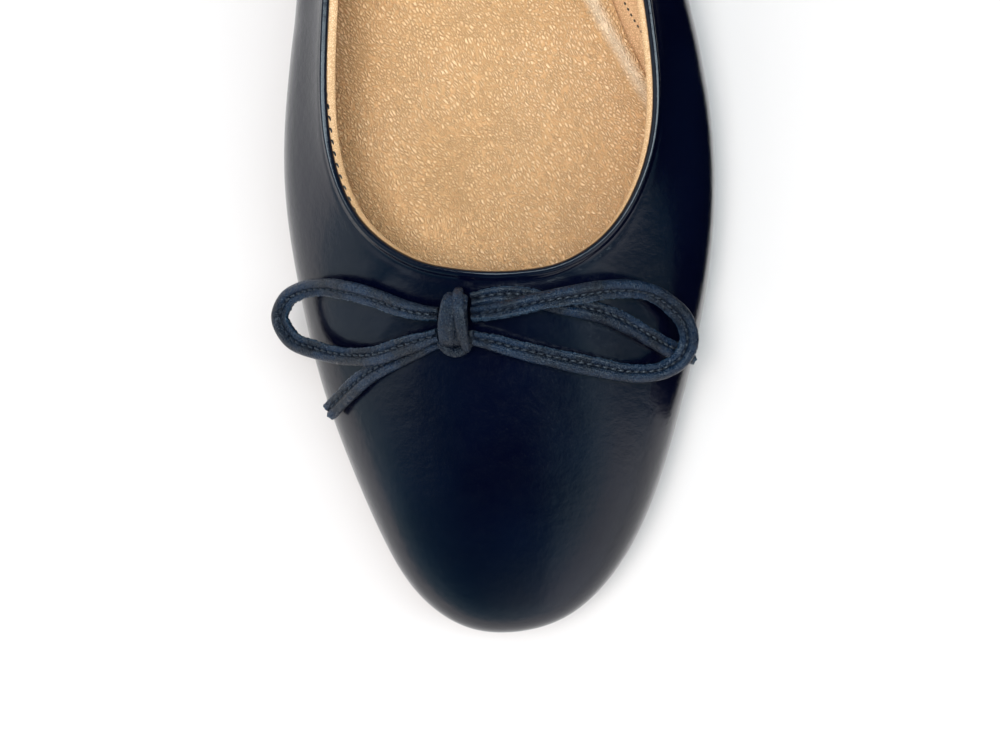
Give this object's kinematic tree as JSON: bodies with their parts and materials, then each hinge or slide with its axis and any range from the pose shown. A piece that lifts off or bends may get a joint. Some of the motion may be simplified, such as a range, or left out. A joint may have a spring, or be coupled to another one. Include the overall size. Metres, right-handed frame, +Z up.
{
  "type": "ballet flat",
  "caption": "Low slip-on shoe with a round toe, a thin sole, a low heel and a cord bow tied on the vamp.",
  "frame": {"origin": "on the floor, under the middle of the shoe's length and width, the bow's cord left out", "axes": "+Y from toe to heel, +Z up, +X towards the inner side of the foot"},
  "size_m": [0.0844, 0.25, 0.0608],
  "materials": {
    "navy_leather": "smooth, semi-gloss",
    "cord_leather": "matt, folded and stitched",
    "tan_leather": "pebbled, satin",
    "sole_rubber": "matt",
    "heel_stack": "satin"
  },
  "bodies": {
    "root": {"upper": "navy_leather", "insole": "tan_leather", "outsole": "sole_rubber", "heel_block": "heel_stack", "heel_top_piece": "sole_rubber", "bow_knot": "cord_leather", "bow_loop_lateral": "cord_leather", "bow_loop_medial": "cord_leather", "bow_end_lateral": "cord_leather", "bow_end_medial": "cord_leather"}
  },
  "joints": []
}
